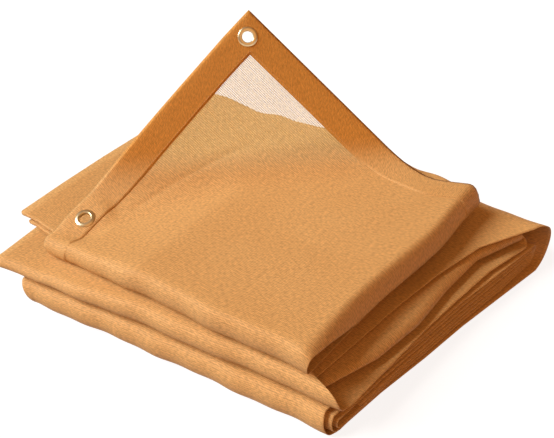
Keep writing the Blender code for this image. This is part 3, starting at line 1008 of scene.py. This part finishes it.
class CLOTH_OT_eyelets(bpy.types.Operator):
    """Builds the two brass eyelets, each turned from one profile"""

    bl_idname = "cloth.eyelets"
    bl_label = "Brass eyelets"

    def execute(self, context):
        settings = context.scene.cloth_eyelet
        for name, place in eyelet_places().items():
            piece = show(self.turned(name, settings, eyelet_frame(name, place)), name + "_ring")
            piece.data.materials.append(material("eyelet_brass", polished_brass, settings))
            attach(piece, "root")
            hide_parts(name)
        return {"FINISHED"}

    def turned(self, name, settings, place):
        """The ring: a rolled lip round the hole that runs out into a domed flange on each side."""
        hole, flange, half = settings.hole, settings.flange, settings.half
        upper = [(hole, RING_WAIST)]
        for k in range(1, LIP_STEPS + 1):
            angle = math.pi / 2 * k / LIP_STEPS
            rolled = hole + RING_LIP * (1.0 - math.cos(angle))
            upper.append((rolled, half - RING_LIP + RING_LIP * math.sin(angle)))
        for k in range(1, FLANGE_STEPS + 1):
            t = k / FLANGE_STEPS
            upper.append((mix(hole + RING_LIP, flange, t), mix(half, RING_EDGE, t * t)))
        upper.append((flange, RING_UNDER))
        upper.append((hole + RING_WALL, RING_UNDER))
        profile = upper + [(r, -z) for r, z in reversed(upper)]
        mesh = bpy.data.meshes.new(name)
        bm = bmesh.new()
        rings = []
        for k in range(settings.steps):
            angle = 2.0 * math.pi * k / settings.steps
            spoke = Vector((math.cos(angle), math.sin(angle), 0.0))
            spots = [spoke * r + Vector((0.0, 0.0, z)) for r, z in profile]
            rings.append([bm.verts.new(place @ (spot * MM)) for spot in spots])
        for low, high in zip(rings, rings[1:] + rings[:1]):
            for i in range(len(profile)):
                nxt = (i + 1) % len(profile)
                bm.faces.new((low[i], high[i], high[nxt], low[nxt])).smooth = True
        bmesh.ops.recalc_face_normals(bm, faces=bm.faces)
        bm.to_mesh(mesh)
        bm.free()
        return mesh


class CLOTH_OT_stage(bpy.types.Operator):
    """Sets the floor, the soft light and the camera"""

    bl_idname = "cloth.stage"
    bl_label = "Floor, light and camera"

    def execute(self, context):
        settings = context.scene.cloth_stage
        scene = context.scene
        scene.view_settings.view_transform = "Standard"
        self.lay_floor()
        self.light(scene, settings)
        self.place_camera(scene, settings)
        return {"FINISHED"}

    def lay_floor(self):
        """A large plain floor, which is only a ground for the picture."""
        mesh = bpy.data.meshes.new("floor")
        sides = (-FLOOR_REACH, FLOOR_REACH)
        corners = [(x, y, 0.0) for y, order in zip(sides, (sides, sides[::-1])) for x in order]
        mesh.from_pydata(corners, [], [(0, 1, 2, 3)])
        floor = show(mesh, "floor")
        floor.data.materials.append(material("studio_floor", white_floor))
        # Its own glow doesn't light the cloth
        floor.visible_diffuse = False

    def light(self, scene, settings):
        """A large soft lamp at the left, a weak one at the right, and a warm sky."""
        sky = bpy.data.worlds.new("soft_sky")
        sky.use_nodes = True
        sky.node_tree.nodes["Background"].inputs["Color"].default_value = settings.sky_tone
        sky.node_tree.nodes["Background"].inputs["Strength"].default_value = settings.world
        scene.world = sky
        for name, strength, softness, source, tone in (
            ("key_lamp", settings.key, settings.softness, KEY_FROM, linear("#FFFFFF")),
            ("fill_lamp", settings.fill, 2.0 * settings.softness, FILL_FROM, settings.sky_tone),
        ):
            light = bpy.data.lights.new(name, "SUN")
            light.energy = strength
            light.angle = softness
            light.color = tone[:3]
            lamp = bpy.data.objects.new(name, light)
            lamp.rotation_euler = Vector(source).to_track_quat("Z", "Y").to_euler()
            scene.collection.objects.link(lamp)

    def place_camera(self, scene, settings):
        """The camera, at the height and angle that the cloth is seen from."""
        around, above = settings.azimuth, settings.elevation
        back = Vector((
            math.sin(around) * math.cos(above),
            -math.cos(around) * math.cos(above),
            math.sin(above),
        ))
        right = Vector((math.cos(around), math.sin(around), 0.0))
        turn = Matrix((right, back.cross(right), back)).transposed().to_4x4()
        camera = bpy.data.objects.new("camera", bpy.data.cameras.new("camera"))
        camera.matrix_world = Matrix.Translation(LOOK_AT - CENTRE * MM + back * settings.distance) @ turn
        camera.data.sensor_width = SENSOR_WIDTH
        camera.data.lens = settings.lens
        scene.collection.objects.link(camera)
        scene.camera = camera


class CLOTH_OT_sheet(bpy.types.Operator):
    """Works out the net's flat size, once all that is sewn to it is there, and keeps it nowhere"""

    bl_idname = "cloth.sheet"
    bl_label = "Flat size"

    def execute(self, context):
        flat = flat_size(sheet_rows(context.scene.cloth_net))
        return {"FINISHED"}


class CLOTH_PT_panel(bpy.types.Panel):
    """Lists the steps of the build"""

    bl_idname = "CLOTH_PT_panel"
    bl_label = "Shade cloth"
    bl_space_type = "VIEW_3D"
    bl_region_type = "UI"
    bl_category = "Shade cloth"

    def draw(self, context):
        for operator in OPERATORS:
            self.layout.operator(operator.bl_idname)


GROUPS = {
    "cloth_net": NetSettings,
    "cloth_eyelet": EyeletSettings,
    "cloth_seam": SeamSettings,
    "cloth_stage": StageSettings,
}
OPERATORS = (
    CLOTH_OT_net,
    CLOTH_OT_hem,
    CLOTH_OT_seam,
    CLOTH_OT_eyelets,
    CLOTH_OT_stage,
    CLOTH_OT_sheet,
)


def register():
    for group in GROUPS.values():
        bpy.utils.register_class(group)
    for name, group in GROUPS.items():
        setattr(bpy.types.Scene, name, PointerProperty(type=group))
    for made in (*OPERATORS, CLOTH_PT_panel):
        bpy.utils.register_class(made)


def unregister():
    for made in (CLOTH_PT_panel, *reversed(OPERATORS)):
        bpy.utils.unregister_class(made)
    for name in GROUPS:
        delattr(bpy.types.Scene, name)
    for group in GROUPS.values():
        bpy.utils.unregister_class(group)


def main():
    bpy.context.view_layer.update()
    register()
    bpy.ops.cloth.net()
    bpy.ops.cloth.hem()
    bpy.ops.cloth.seam()
    bpy.ops.cloth.eyelets()
    bpy.ops.cloth.stage()
    bpy.ops.cloth.sheet()


if __name__ == "__main__":
    main()
